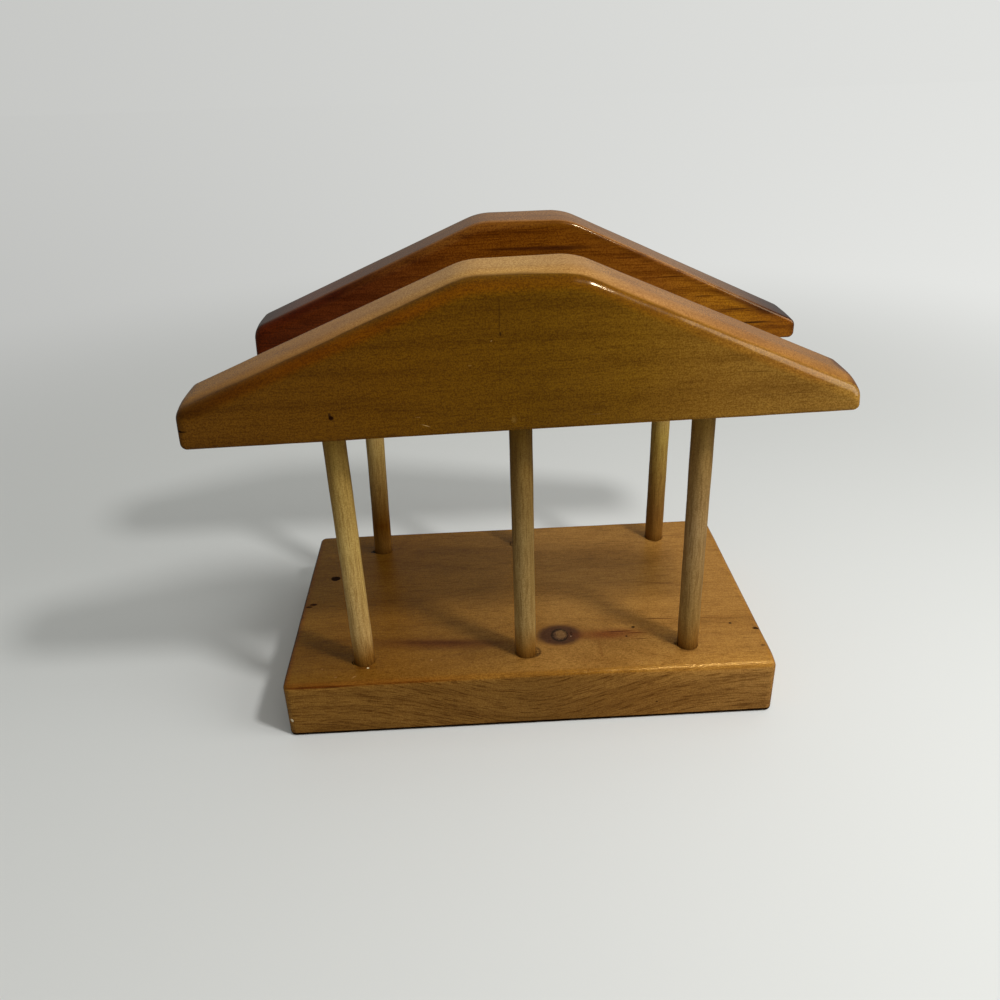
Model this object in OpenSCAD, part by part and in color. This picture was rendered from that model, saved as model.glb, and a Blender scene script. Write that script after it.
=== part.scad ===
// Napkin holder: a base board, two rows of three dowels and two gabled holding boards.
// Lengths are in millimetres. The origin is the middle of the underside, with +Z up
// and the front towards -Y. Left and right are as seen from the front.

/* [Base] */
// Width of the base, left to right
base_w = 148; // [130:1:200]
// Depth of the base, front to back
base_d = 88; // [80:1:140]
// Height of the base
base_h = 19; // [16:0.5:30]
// Radius of the four upright corners
base_corner_r = 2.2; // [1:0.1:6]
// Rounding of the top edges
base_top_round = 2; // [0.5:0.1:4]
// Easing of the bottom edges
base_foot_round = 0.8; // [0.3:0.1:2]

/* [Dowels] */
// Diameter of a dowel
dowel_d = 6.4; // [4:0.1:9]
// Length of a dowel that shows between the base and its board
dowel_show_h = 78; // [50:1:120]
// Depth of a dowel in the base
base_seat_h = 12; // [6:0.5:14]
// Depth of a dowel in its board
board_seat_h = 13; // [6:0.5:16]
// Chamfer at both ends of a dowel
dowel_chamfer = 0.6; // [0.2:0.1:1.2]
// Glue gap all round a dowel in its hole
glue_gap = 0.1; // [0.05:0.05:0.3]

/* [Dowel rows] */
// Front edge of the base to the middle of the front dowels
front_row_inset = 10.8; // [9:0.1:20]
// Back edge of the base to the middle of the back dowels
back_row_inset = 11.5; // [9:0.1:20]
// Left end of the base to the middle of the front left dowel
front_left_inset = 23.6; // [16:0.1:34]
// Front middle dowel, right of the middle of the base
front_middle_x = -1; // [-6:0.1:6]
// Right end of the base to the middle of the front right dowel
front_right_inset = 25; // [16:0.1:34]
// Left end of the base to the middle of the back left dowel
back_left_inset = 24.5; // [16:0.1:34]
// Back middle dowel, right of the middle of the base
back_middle_x = 2; // [-6:0.1:6]
// Right end of the base to the middle of the back right dowel
back_right_inset = 22.5; // [16:0.1:34]

/* [Dowel leans] */
// Lean of the front left dowel to the right, in degrees
front_left_lean = -0.6; // [-2:0.1:2]
// Lean of the front middle dowel to the right, in degrees
front_middle_lean = -0.1; // [-2:0.1:2]
// Lean of the front right dowel to the right, in degrees
front_right_lean = -0.5; // [-2:0.1:2]
// Lean of the back left dowel to the right, in degrees
back_left_lean = 1.4; // [-2:0.1:2]
// Lean of the back middle dowel to the right, in degrees
back_middle_lean = 0.2; // [-2:0.1:2]
// Lean of the back right dowel to the right, in degrees
back_right_lean = 0.3; // [-2:0.1:2]

/* [Boards] */
// Thickness of both boards
board_t = 19; // [14:0.5:24]
// Rounding of the edges of the outer faces
outer_round = 2.2; // [0.5:0.1:4]
// Rounding of the edges of the inner faces
inner_round = 1.2; // [0.3:0.1:3]
// Radius of the lower corners
lower_corner_r = 2.2; // [1:0.1:3.5]
// Radius of the corners at the foot of each slope, where the board's end is high enough for it
slope_foot_r = 4; // [1:0.1:9]
// Radius of the bends between the slopes and the flat top
slope_top_r = 20; // [5:1:40]

/* [Front board] */
// Reach of the front board past the left end of the base
front_left_overhang = 14.8; // [0:0.1:30]
// Reach of the front board past the right end of the base
front_right_overhang = 12.4; // [0:0.1:30]
// Height of the front board
front_board_h = 40.3; // [34:0.1:60]
// Height of its left end
front_left_end_h = 10.6; // [9:0.1:16]
// Height of its right end
front_right_end_h = 7; // [6.5:0.1:16]
// Flat top, from the middle to the left slope
front_flat_left = 12.3; // [8:0.1:30]
// Flat top, from the middle to the right slope
front_flat_right = 15.5; // [8:0.1:30]
// Tilt of the front board, right end down, in degrees
front_board_tilt = -0.9; // [-2:0.1:2]
// Lean of the front board towards the front, in degrees
front_board_lean = 1.5; // [-2:0.1:2]

/* [Back board] */
// Reach of the back board past the left end of the base
back_left_overhang = 8.1; // [0:0.1:30]
// Reach of the back board past the right end of the base
back_right_overhang = 17.5; // [0:0.1:30]
// Height of the back board
back_board_h = 40.2; // [34:0.1:60]
// Height of its left end
back_left_end_h = 9.9; // [9:0.1:16]
// Height of its right end
back_right_end_h = 5.8; // [5.5:0.1:16]
// Flat top, from the middle to the left slope
back_flat_left = 14; // [8:0.1:30]
// Flat top, from the middle to the right slope
back_flat_right = 12.9; // [8:0.1:30]
// Tilt of the back board, right end down, in degrees
back_board_tilt = 0; // [-2:0.1:2]
// Lean of the back board towards the front, in degrees
back_board_lean = 0; // [-2:0.1:2]

/* [Hidden] */

// Steps in each corner arc of an outline, and in each rounded edge
arc_steps = 8;
round_steps = 5;
$fn = 64;

// Rows and places by number
FRONT = 0;
BACK = 1;
PLACES = [0, 1, 2];
row_y = [-base_d / 2 + front_row_inset, base_d / 2 - back_row_inset];
dowel_x = [
  [front_left_inset - base_w / 2, front_middle_x, base_w / 2 - front_right_inset],
  [back_left_inset - base_w / 2, back_middle_x, base_w / 2 - back_right_inset]
];
dowel_lean = [
  [front_left_lean, front_middle_lean, front_right_lean],
  [back_left_lean, back_middle_lean, back_right_lean]
];
dowel_r = dowel_d / 2;
dowel_l = base_seat_h + dowel_show_h + board_seat_h;
boards_z = base_h + dowel_show_h;

// Width and middle of each board, from its reach past the ends of the base
front_board_w = front_left_overhang + base_w + front_right_overhang;
front_board_x = (front_right_overhang - front_left_overhang) / 2;
back_board_w = back_left_overhang + base_w + back_right_overhang;
back_board_x = (back_right_overhang - back_left_overhang) / 2;

// Corners of the base, anticlockwise, and their radii
base_corners = [
  [-base_w / 2, -base_d / 2],
  [base_w / 2, -base_d / 2],
  [base_w / 2, base_d / 2],
  [-base_w / 2, base_d / 2]
];
base_radii = [base_corner_r, base_corner_r, base_corner_r, base_corner_r];

// Corners of a gabled board, anticlockwise as seen from the front
function board_corners(w, h, left_h, right_h, flat_left, flat_right) = [
  [-w / 2, 0],
  [w / 2, 0],
  [w / 2, right_h],
  [flat_right, h],
  [-flat_left, h],
  [-w / 2, left_h]
];

// Least flat that stays on the end of a board between its two rounded corners
least_end_flat = 0.3;

// Radius at the foot of a slope that runs inwards by run and up from end_h to h
function foot_r(end_h, h, run) =
  let (turn = atan2(run, h - end_h))
  min(slope_foot_r, (end_h - lower_corner_r - least_end_flat) / tan(turn / 2));

// Radii of a gabled board's corners, in the order of its corners
function board_radii(w, h, left_h, right_h, flat_left, flat_right) = [
  lower_corner_r,
  lower_corner_r,
  foot_r(right_h, h, w / 2 - flat_right),
  slope_top_r,
  slope_top_r,
  foot_r(left_h, h, w / 2 - flat_left)
];

function unit(v) = v / norm(v);

// One rounded corner of an outline, drawn in by inset from its full size
function corner_arc(before, corner, after, radius, inset) =
  let (
    back = unit(before - corner),
    ahead = unit(after - corner),
    half = acos(back * ahead) / 2,
    centre = corner + unit(back + ahead) * radius / sin(half),
    start = atan2(back[0], -back[1]),
    turn = 180 - 2 * half
  )
  [for (k = [0 : arc_steps])
    let (a = start + turn * k / arc_steps)
    centre + (radius - inset) * [cos(a), sin(a)]
  ];

// The whole outline with its rounded corners, drawn in by inset
function outline(corners, radii, inset, least_r) =
  let (n = len(corners))
  [for (i = [0 : n - 1])
    each corner_arc(
      corners[(i + n - 1) % n],
      corners[i],
      corners[(i + 1) % n],
      max(radii[i], least_r),
      inset
    )
  ];

// Height and inset of each ring of a slab with rounded lower and upper edges
function slab_rings(h, low_round, high_round) = concat(
  [for (k = [0 : round_steps])
    let (a = 90 * k / round_steps)
    [low_round * (1 - cos(a)), low_round * (1 - sin(a))]
  ],
  [for (k = [0 : round_steps])
    let (a = 90 * (round_steps - k) / round_steps)
    [h - high_round * (1 - cos(a)), high_round * (1 - sin(a))]
  ]
);

// A slab with the given outline and height, and with its edges rounded
module rounded_slab(corners, radii, h, low_round, high_round) {
  least_r = max(low_round, high_round);
  rings = slab_rings(h, low_round, high_round);
  count = len(corners) * (arc_steps + 1);
  last = len(rings) - 1;
  points = [for (ring = rings)
    for (p = outline(corners, radii, ring[1], least_r))
      [p[0], p[1], ring[0]]
  ];
  sides = [for (i = [0 : last - 1])
    for (j = [0 : count - 1])
      let (
        a = i * count + j,
        b = i * count + (j + 1) % count,
        c = b + count,
        d = a + count
      )
      each [[a, d, c], [a, c, b]]
  ];
  bottom = [for (j = [0 : count - 1]) j];
  top = [for (j = [count - 1 : -1 : 0]) last * count + j];
  polyhedron(points = points, faces = concat([bottom, top], sides), convexity = 2);
}

// Puts its children at the foot of a dowel, with +Z along the dowel
module at_dowel(row, place) {
  translate([dowel_x[row][place], row_y[row], base_h])
    rotate([0, dowel_lean[row][place], 0])
      translate([0, 0, -base_seat_h])
        children();
}

// A turned dowel with both ends chamfered
module dowel(row, place) {
  at_dowel(row, place)
    rotate_extrude()
      polygon([
        [0, 0],
        [dowel_r - dowel_chamfer, 0],
        [dowel_r, dowel_chamfer],
        [dowel_r, dowel_l - dowel_chamfer],
        [dowel_r - dowel_chamfer, dowel_l],
        [0, dowel_l]
      ]);
}

// The holes for one row of dowels, in the base below and in the board above
module row_holes(row) {
  for (place = PLACES)
    at_dowel(row, place)
      cylinder(h = dowel_l, r = dowel_r + glue_gap);
}

// A board standing on its row of dowels, with the low side of the slab at its back
module board_blank(corners, radii, row, x, lean, tilt, back_round, front_round) {
  translate([x, row_y[row], boards_z])
    rotate([lean, tilt, 0])
      translate([0, board_t / 2, 0])
        rotate([90, 0, 0])
          rounded_slab(corners, radii, board_t, back_round, front_round);
}

module base() {
  color("#8f5f25")
    difference() {
      rounded_slab(base_corners, base_radii, base_h, base_foot_round, base_top_round);
      row_holes(FRONT);
      row_holes(BACK);
    }
}

module front_left_dowel() {
  color("#b0935a") dowel(FRONT, 0);
}

module front_middle_dowel() {
  color("#a98c55") dowel(FRONT, 1);
}

module front_right_dowel() {
  color("#a68850") dowel(FRONT, 2);
}

module back_left_dowel() {
  color("#94743c") dowel(BACK, 0);
}

module back_middle_dowel() {
  color("#94743c") dowel(BACK, 1);
}

module back_right_dowel() {
  color("#a08050") dowel(BACK, 2);
}

module front_board() {
  corners = board_corners(
    front_board_w,
    front_board_h,
    front_left_end_h,
    front_right_end_h,
    front_flat_left,
    front_flat_right
  );
  radii = board_radii(
    front_board_w,
    front_board_h,
    front_left_end_h,
    front_right_end_h,
    front_flat_left,
    front_flat_right
  );
  color("#7a5418")
    difference() {
      board_blank(
        corners,
        radii,
        FRONT,
        front_board_x,
        front_board_lean,
        front_board_tilt,
        inner_round,
        outer_round
      );
      row_holes(FRONT);
    }
}

module back_board() {
  corners = board_corners(
    back_board_w,
    back_board_h,
    back_left_end_h,
    back_right_end_h,
    back_flat_left,
    back_flat_right
  );
  radii = board_radii(
    back_board_w,
    back_board_h,
    back_left_end_h,
    back_right_end_h,
    back_flat_left,
    back_flat_right
  );
  color("#6f3b10")
    difference() {
      board_blank(
        corners,
        radii,
        BACK,
        back_board_x,
        back_board_lean,
        back_board_tilt,
        outer_round,
        inner_round
      );
      row_holes(BACK);
    }
}

base();
front_left_dowel();
front_middle_dowel();
front_right_dowel();
back_left_dowel();
back_middle_dowel();
back_right_dowel();
front_board();
back_board();
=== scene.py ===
"""Looks of a hand-made wooden napkin holder: a base board, six dowels and two gabled boards.

Sizes are in millimetres, as a woodworker gives them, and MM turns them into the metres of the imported
model's frame. Left and right are as seen from the front, which faces -Y.
"""

import logging
import math
from collections.abc import Callable
from dataclasses import dataclass, field
from enum import Enum

import bpy
import numpy as np
from mathutils import Matrix, Vector
from mathutils.geometry import delaunay_2d_cdt


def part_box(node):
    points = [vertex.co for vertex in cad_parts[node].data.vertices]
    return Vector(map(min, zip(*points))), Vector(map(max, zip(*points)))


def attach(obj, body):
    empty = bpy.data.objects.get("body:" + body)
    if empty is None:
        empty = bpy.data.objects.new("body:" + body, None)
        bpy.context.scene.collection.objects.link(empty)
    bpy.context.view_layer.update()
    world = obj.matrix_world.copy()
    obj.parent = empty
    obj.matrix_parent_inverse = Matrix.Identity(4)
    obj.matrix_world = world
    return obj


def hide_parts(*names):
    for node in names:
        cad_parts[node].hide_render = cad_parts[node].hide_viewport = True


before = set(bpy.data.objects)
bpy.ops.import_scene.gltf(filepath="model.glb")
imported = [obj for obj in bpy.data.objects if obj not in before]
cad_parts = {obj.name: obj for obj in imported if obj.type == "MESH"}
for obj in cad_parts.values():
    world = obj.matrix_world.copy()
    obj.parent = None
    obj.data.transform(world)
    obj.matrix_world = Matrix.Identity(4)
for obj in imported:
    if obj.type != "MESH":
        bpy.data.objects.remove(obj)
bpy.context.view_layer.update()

MM = 0.001
TURN = 2 * math.pi
BODY = "root"
Stops = tuple[tuple[float, str], ...]
Triple = tuple[float, float, float]
Waves = tuple[tuple[int, float, float], ...]

BASE_HEIGHT = 19.0
BOARD_THICKNESS = 19.0
TINY = 1e-9
WELD = 1e-7

# A triangle whose middle lies within this share of the flat ring round a hole belongs to the hole.
INSIDE_SHARE = 0.98

# The stretch to the right of the middle where the left end's side colours give way to the right end's.
SIDE_RUN = 30.0

# How deep a mark on the base's top and one on a board's face reach into the wood.
TOP_REACH = 1.0
FACE_REACH = 2.0

# Where each kind of noise starts to darken the wood and where it darkens it fully. Between the worn
# steps the patches wear a rim's colours.
PATCH_STEP = (0.4, 0.72)
WORN_STEP = (0.3, 0.6)
FIBRE_STEP = (0.46, 0.74)
STROKE_STEP = (0.535, 0.61)
GRIT_STEP = (0.36, 0.64)
UNEVEN_STEP = (0.32, 0.62)

# Cells per millimetre, along and across the grain, of the rings' wander and of their uneven strength.
WANDER_SIZE = (0.012, 0.035)
UNEVEN_SIZE = (0.03, 0.3)

# Where the sides' colours begin and end as the surface turns, and where the grain fades towards them.
TURNED_STEP = (-0.1, 1.0)
FACE_STEP = (0.4, 1.0)

# How much the fine mottle and the patches shift a rim's lower line, a side's boundary and the roughness.
RIM_RAGGED = (2.2, 2.0)
SIDE_RAGGED = 0.8
GLOSS_RAGGED = (0.14, 0.08)

# Heights of the fibres and of the growth lines in the relief.
FIBRE_RELIEF = 0.4
RING_RELIEF = -0.25

log = logging.getLogger("napkin_holder")


def linear(code: str) -> tuple[float, float, float, float]:
    """Turns a screen colour such as #a06a28 into the linear colour that a shader takes.

    Args:
        code: Six hexadecimal digits after a hash sign.

    Returns:
        Red, green, blue and an alpha of 1. Each channel c becomes ((c + 0.055) / 1.055) ^ 2.4.
    """
    parts = [int(code[i : i + 2], 16) / 255 for i in (1, 3, 5)]
    values = [c / 12.92 if c <= 0.04045 else ((c + 0.055) / 1.055) ** 2.4 for c in parts]
    return (values[0], values[1], values[2], 1.0)


def operator(operation: str, reflected: bool = False) -> Callable[["Term", object], "Term"]:
    """Makes one of Term's operators.

    Args:
        operation: The Math node's operation.
        reflected: Whether the term stands on the right.

    Returns:
        The method, which adds the Math node.
    """

    def method(term: "Term", other: object) -> "Term":
        """Adds the operation on the term and another value."""
        return term.op(operation, other, term) if reflected else term.op(operation, term, other)

    return method


class Term:
    """A shader value. An expression on it adds the Math nodes that work it out."""

    __add__, __radd__ = operator("ADD"), operator("ADD", True)
    __sub__, __rsub__ = operator("SUBTRACT"), operator("SUBTRACT", True)
    __mul__, __rmul__ = operator("MULTIPLY"), operator("MULTIPLY", True)
    __truediv__, __rtruediv__ = operator("DIVIDE"), operator("DIVIDE", True)
    __pow__, __rpow__ = operator("POWER"), operator("POWER", True)
    most = operator("MAXIMUM")

    def __init__(self, graph: "Graph", socket: bpy.types.NodeSocket) -> None:
        """Wraps one output socket of the graph."""
        self.graph = graph
        self.socket = socket

    def op(self, operation: str, *values: object) -> "Term":
        """Adds one Math node with these inputs: terms, sockets or numbers."""
        made = self.graph.node("ShaderNodeMath", {"operation": operation}, dict(enumerate(values)))
        return Term(self.graph, made.outputs[0])

    def sine(self) -> "Term":
        """Sine of an angle in radians."""
        return self.op("SINE", self)

    def bell(self) -> "Term":
        """exp(-t^2), which is 1 at 0 and fades to both sides."""
        return self.op("EXPONENT", self * self * -1.0)

    def ramp(self, low: float, high: float, start: float = 0.0, end: float = 1.0) -> "Term":
        """Smooth step from one value to another.

        Args:
            low: Where the step starts.
            high: Where the step ends.
            start: The result at and below low.
            end: The result at and above high.

        Returns:
            start + (end - start) * (3 s^2 - 2 s^3), with s = (t - low) / (high - low) held to 0..1.
        """
        made = self.graph.node(
            "ShaderNodeMapRange",
            {"interpolation_type": "SMOOTHSTEP"},
            {"Value": self, "From Min": low, "From Max": high, "To Min": start, "To Max": end},
        )
        return Term(self.graph, made.outputs[0])


class Graph:
    """The node tree of one material, or of the world."""

    def __init__(self, owner: bpy.types.ID) -> None:
        """Empties the owner's node tree and keeps it."""
        owner.use_nodes = True
        self.tree = owner.node_tree
        self.tree.nodes.clear()

    def node(
        self,
        kind: str,
        settings: dict[str, object] | None = None,
        inputs: dict[int | str, object] | None = None,
    ) -> bpy.types.Node:
        """Adds one node of any kind.

        Args:
            kind: Blender's name of the node type.
            settings: Its properties, set first. "stops" sets a colour ramp's (place, colour) pairs.
            inputs: Values or links of its inputs, by place, name or identifier.

        Returns:
            The node.
        """
        made = self.tree.nodes.new(kind)
        for name, value in (settings or {}).items():
            if name == "stops":
                self.set_stops(made.color_ramp, value)
            else:
                setattr(made, name, value)
        for key, value in (inputs or {}).items():
            self.feed(self.input_of(made, key), value)
        return made

    def set_stops(self, ramp: bpy.types.ColorRamp, stops: object) -> None:
        """Gives a colour ramp its stops, which are (place, linear colour) pairs."""
        while len(ramp.elements) < len(stops):
            ramp.elements.new(1.0)
        for element, (place, colour) in zip(ramp.elements, stops):
            element.position = place
            element.color = colour

    def input_of(self, node: bpy.types.Node, key: int | str) -> bpy.types.NodeSocket:
        """Finds a node's input by its place, or by its identifier or name."""
        if isinstance(key, int):
            return node.inputs[key]
        return next(s for s in node.inputs if key in (s.identifier, s.name))

    def feed(self, socket: bpy.types.NodeSocket, value: object) -> None:
        """Links a term or a socket to an input, or sets a plain value there."""
        if isinstance(value, Term):
            value = value.socket
        if isinstance(value, bpy.types.NodeSocket):
            self.tree.links.new(value, socket)
        else:
            socket.default_value = value

    def mix(self, first: object, second: object, share: object, blend: str = "MIX") -> bpy.types.NodeSocket:
        """Mixes two colours.

        Args:
            first: The colour at a share of 0.
            second: The colour at a share of 1.
            share: How much of the second.
            blend: The Mix node's blend type.

        Returns:
            The mixed colour.
        """
        settings = {"data_type": "RGBA", "blend_type": blend}
        inputs = {"Factor_Float": share, "A_Color": first, "B_Color": second}
        return self.node("ShaderNodeMix", settings, inputs).outputs[2]

    def vector(self, operation: str, *values: object) -> bpy.types.Node:
        """Adds one Vector Math node with these inputs."""
        return self.node("ShaderNodeVectorMath", {"operation": operation}, dict(enumerate(values)))

    def local(self, place: object, origin: object, turn: Triple, scale: Triple) -> bpy.types.NodeSocket:
        """Coordinates in a frame of their own.

        Args:
            place: The coordinates outside it.
            origin: Where its origin lies in them.
            turn: How it is turned, as XYZ angles in radians.
            scale: The length of its unit along each axis.

        Returns:
            R^-1 (place - origin) / scale.
        """
        inputs = {"Vector": place, "Location": origin, "Rotation": turn, "Scale": scale}
        return self.node("ShaderNodeMapping", {"vector_type": "TEXTURE"}, inputs).outputs[0]

    def away(self, place: object, centre: Triple, radii: Triple, turn: Triple = (0.0, 0.0, 0.0)) -> Term:
        """How far a place is from a centre, with the radii as units and turned by XYZ angles."""
        return Term(self, self.vector("LENGTH", self.local(place, centre, turn, radii)).outputs[1])

    def split(self, place: object) -> tuple[Term, Term, Term]:
        """The three coordinates as terms."""
        made = self.node("ShaderNodeSeparateXYZ", None, {0: place})
        return Term(self, made.outputs[0]), Term(self, made.outputs[1]), Term(self, made.outputs[2])

    def noise(
        self, place: object, scales: Triple, detail: float = 2.0, rough: float = 0.5, bend: float = 0.0
    ) -> Term:
        """Soft noise between 0 and 1, with its middle at 0.5.

        Args:
            place: Coordinates in millimetres.
            scales: Cells per millimetre along each axis.
            detail: Octaves of finer noise.
            rough: Strength of each finer octave.
            bend: How far the noise distorts itself.

        Returns:
            The noise.
        """
        cells = self.vector("MULTIPLY", place, scales).outputs[0]
        inputs = {"Vector": cells, "Scale": 1.0, "Detail": detail, "Roughness": rough, "Distortion": bend}
        return Term(self, self.node("ShaderNodeTexNoise", None, inputs).outputs[0])

    def gradient(self, run: Term, stops: Stops) -> bpy.types.NodeSocket:
        """Colours that follow each other along a piece.

        Args:
            run: Where the place lies along the piece, in millimetres.
            stops: Places in millimetres, in order, with their colours.

        Returns:
            The colour at that place, mixed from its two neighbours.
        """
        start, length = stops[0][0], stops[-1][0] - stops[0][0]
        shares = [((at - start) / length, linear(code)) for at, code in stops]
        made = self.node("ShaderNodeValToRGB", {"stops": shares}, {0: (run - start) * (1 / length)})
        return made.outputs[0]

    def attribute(self, name: str) -> Term:
        """A number that the mesh carries at its vertices."""
        return Term(self, self.node("ShaderNodeAttribute", {"attribute_name": name}).outputs["Fac"])

    def finish(self, shader: bpy.types.NodeSocket) -> None:
        """Links a shader to the material's or the world's output."""
        world = self.tree is bpy.context.scene.world.node_tree
        self.node("ShaderNodeOutputWorld" if world else "ShaderNodeOutputMaterial", None, {0: shader})


@dataclass(frozen=True)
class Mark:
    """A spot, streak, scratch or knot ring in the surface, or a painted glint or painted shade.

    Its distance is |R^-1 (p - centre) / radii| plus ragged noise. A hollow mark fades again towards its
    centre, and a sunk one is a dent.
    """

    centre: Triple
    radii: Triple
    colour: str
    strength: float = 1.0
    soft: float = 0.5
    turn: Triple = (0.0, 0.0, 0.0)
    ragged: float = 0.4
    hollow: float = 0.0
    sunk: float = 0.0
    hollow_fade: float = 0.3

    def mask(self, graph: Graph, place: object, noise: Term) -> Term:
        """How much of the mark shows at a place.

        Args:
            graph: The material's nodes.
            place: The piece's own coordinates.
            noise: Noise between 0 and 1 for the ragged edge.

        Returns:
            The strength where the distance is under 1 - soft, down to 0 where it is 1.
        """
        away = graph.away(place, self.centre, self.radii, self.turn) + (noise - 0.5) * self.ragged
        shown = away.ramp(1 - self.soft, 1.0, self.strength, 0.0)
        if self.hollow:
            shown = shown * away.ramp(self.hollow - self.hollow_fade, self.hollow)
        return shown


def on_top(
    x: float, y: float, wide: float, deep: float, *look: str | float, turned: float = 0.0, **more: float
) -> Mark:
    """A mark on the base's flat top, from its place, radii and further fields, turned in radians."""
    return Mark((x, y, BASE_HEIGHT), (wide, deep, TOP_REACH), *look, turn=(0.0, 0.0, turned), **more)


def on_face(
    x: float, z: float, wide: float, high: float, *look: str | float, turned: float = 0.0, **more: float
) -> Mark:
    """A mark on a board's front face, likewise."""
    face = -BOARD_THICKNESS / 2
    return Mark((x, face, z), (wide, FACE_REACH, high), *look, turn=(0.0, turned, 0.0), **more)


@dataclass(frozen=True)
class Swirl:
    """A place where the growth rings rise by lift * exp(-|(p - centre) / radii|^2), as round a knot."""

    centre: Triple
    radii: Triple
    lift: float

    def rise(self, graph: Graph, place: object) -> Term:
        """The rise at a place, in millimetres."""
        return graph.away(place, self.centre, self.radii).bell() * self.lift


class Along(Enum):
    """The axis of a piece that its grain follows."""

    LENGTH = (1.0, 0.0, 0.0)
    HEIGHT = (0.0, 0.0, 1.0)


@dataclass(frozen=True)
class WoodFinish:
    """A wood and what is brushed on it: colours, growth rings, fibres, wear and gloss.

    Attributes:
        name: The material's name.
        tones: Colours of the faces along the piece.
        side_tones: Colours of the sawn sides along the piece, or none.
        side_start: How far the surface has turned to the side where these begin, at the left and right ends.
        side_blend: How far it turns on until only they show, likewise.
        rim_tones: Colours along the rounded upper edge, partly pooled finish and partly painted glow, or
            none.
        rim_reach: How far these reach down the face, in millimetres.
        rim_low: The height under which they fade out, in millimetres.
        rim_share: Strength of these colours.
        rim_full: Share of the reach over which they are at full strength.
        rim_fade: Height over which they fade out at the bottom, in millimetres.
        rim_least: Share of their strength that is left in the worn patches.
        patch: What the wood's colour is multiplied by in its darker patches.
        line: What it is multiplied by in growth lines, fibres and pores.
        along: The axis of the grain.
        ring_width: Distance between growth lines, in millimetres.
        ring_share: Strength of the growth lines.
        ring_power: How thin they are.
        heart: Where the tree's heart lies across the grain, in millimetres.
        wander: How far the rings wander, in millimetres.
        fibre_share: Strength of the fine fibres.
        fibre_size: Fibres per millimetre along and across the grain.
        patch_share: Strength of the darker patches.
        patch_size: Patches per millimetre, likewise.
        stroke_size: Short dark strokes per millimetre, likewise.
        stroke_share: Strength of these strokes.
        face_share: How much of the grain's strength shows on the faces.
        side_share: How much of it shows on the sawn sides.
        grit_share: Strength of the finest mottle.
        grit_size: Its cells per millimetre.
        roughness: Roughness of the finish.
        ior: Index of refraction of the finish.
        tint: Colour of the gloss where it is looked at straight on.
        bump: Height of the grain's relief, in millimetres.
        grit_relief: How much of it is the finest mottle's.
        run_shift: How far the patches shift the colours along the piece, in millimetres.
        swirls: Places where the grain bends.
        marks: Knots, streaks, spots and scratches, and painted glints and painted shade.
        hole_share: How much of the gloss the sunk marks take away.
    """

    name: str
    tones: Stops
    side_tones: Stops = ()
    side_start: tuple[float, float] = (0.68, 0.68)
    side_blend: tuple[float, float] = (0.18, 0.18)
    rim_tones: Stops = ()
    rim_reach: float = 4.0
    rim_low: float = 6.0
    rim_share: float = 0.9
    rim_full: float = 0.35
    rim_fade: float = 3.0
    rim_least: float = 0.45
    patch: str = "#cbbfa8"
    line: str = "#c2b096"
    along: Along = Along.LENGTH
    ring_width: float = 3.0
    ring_share: float = 0.4
    ring_power: float = 4.0
    heart: tuple[float, float] = (30.0, -70.0)
    wander: float = 6.0
    fibre_share: float = 0.4
    fibre_size: tuple[float, float] = (0.09, 1.3)
    patch_share: float = 0.6
    patch_size: tuple[float, float] = (0.02, 0.06)
    stroke_size: tuple[float, float] = (0.3, 2.0)
    stroke_share: float = 0.5
    face_share: float = 1.0
    side_share: float = 1.0
    grit_share: float = 0.5
    grit_size: float = 2.3
    roughness: float = 0.2
    ior: float = 1.5
    tint: str = "#ffe2b4"
    bump: float = 0.015
    grit_relief: float = 0.45
    run_shift: float = 14.0
    swirls: tuple[Swirl, ...] = ()
    marks: tuple[Mark, ...] = ()
    hole_share: float = 0.75

    def across(self, length: float, width: float) -> Triple:
        """Noise scales: one along the grain and one for both directions across it."""
        return tuple(length if a else width for a in self.along.value)

    def bent(self, graph: Graph, place: object) -> bpy.types.NodeSocket:
        """Places moved up by the swirls, so that every grain pattern bends with them."""
        if not self.swirls:
            return place
        rise = sum(swirl.rise(graph, place) for swirl in self.swirls)
        lift = graph.node("ShaderNodeCombineXYZ", None, {"Z": rise})
        return graph.vector("ADD", place, lift.outputs[0]).outputs[0]

    def rings(self, graph: Graph, grain: object) -> Term:
        """Growth lines.

        Args:
            graph: The material's nodes.
            grain: The bent coordinates.

        Returns:
            (0.5 + 0.5 sin(2 pi d / width)) ^ power, where d is the distance from the heart plus the
            wander. Slow noise makes the lines stronger and weaker.
        """
        x, y, z = graph.split(grain)
        side, rise = (y, z) if self.along is Along.LENGTH else (x, y)
        away = ((side - self.heart[0]) ** 2.0 + (rise - self.heart[1]) ** 2.0) ** 0.5
        slow = graph.noise(grain, self.across(*WANDER_SIZE), rough=0.45)
        away = away + (slow - 0.5) * (2 * self.wander)
        wave = (away * (TURN / self.ring_width)).sine() * 0.5 + 0.5
        uneven = graph.noise(grain, self.across(*UNEVEN_SIZE))
        return wave**self.ring_power * uneven.ramp(*UNEVEN_STEP)

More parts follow.
